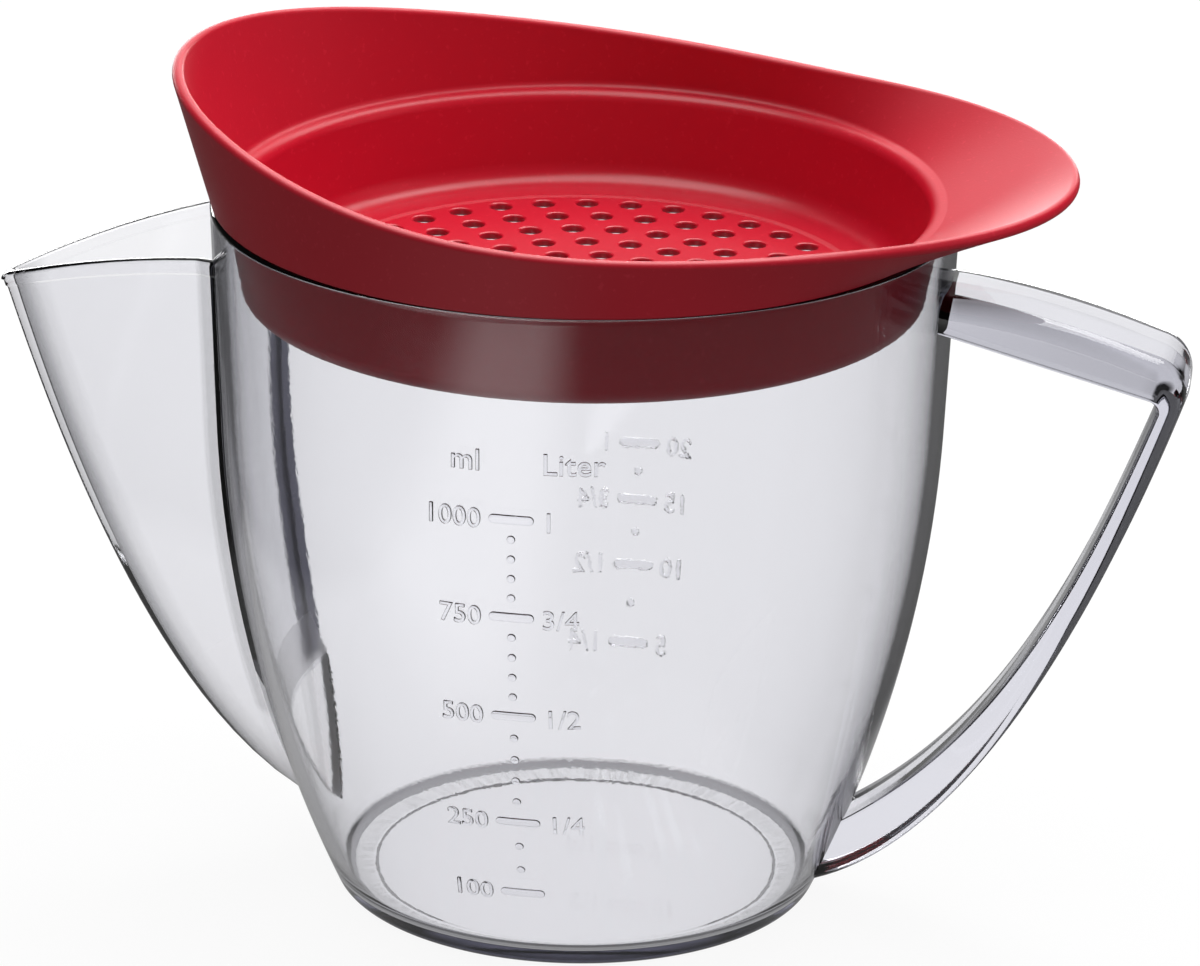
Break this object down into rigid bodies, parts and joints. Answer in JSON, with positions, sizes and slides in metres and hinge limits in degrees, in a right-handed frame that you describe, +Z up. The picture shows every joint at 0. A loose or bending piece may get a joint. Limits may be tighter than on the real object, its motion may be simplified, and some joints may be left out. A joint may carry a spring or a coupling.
{
  "type": "gravy fat separator",
  "caption": "Clear measuring jug with a low-set V spout, strap handle and a lift-out strainer funnel with a perforated basin.",
  "frame": {"origin": "on the axis of the round jug bowl, in the plane that it stands on", "axes": "+X from the jug's axis to the handle, -X to the spout, +Z up; the object is symmetric about the XZ plane apart from its volume scales"},
  "size_m": [0.2185, 0.136, 0.1552],
  "materials": {
    "clear_plastic": "clear gloss",
    "red_plastic": "satin"
  },
  "bodies": {
    "jug": {"jug_body": "clear_plastic", "pouring_spout": "clear_plastic", "strap_handle": "clear_plastic", "volume_scale": "clear_plastic"},
    "strainer": {"strainer_insert": "red_plastic"}
  },
  "joints": [
    {"name": "strainer_lift", "type": "slide", "parent": "jug", "child": "strainer", "axis": [0, 0, 1], "range_m": [0, 0.06]}
  ]
}
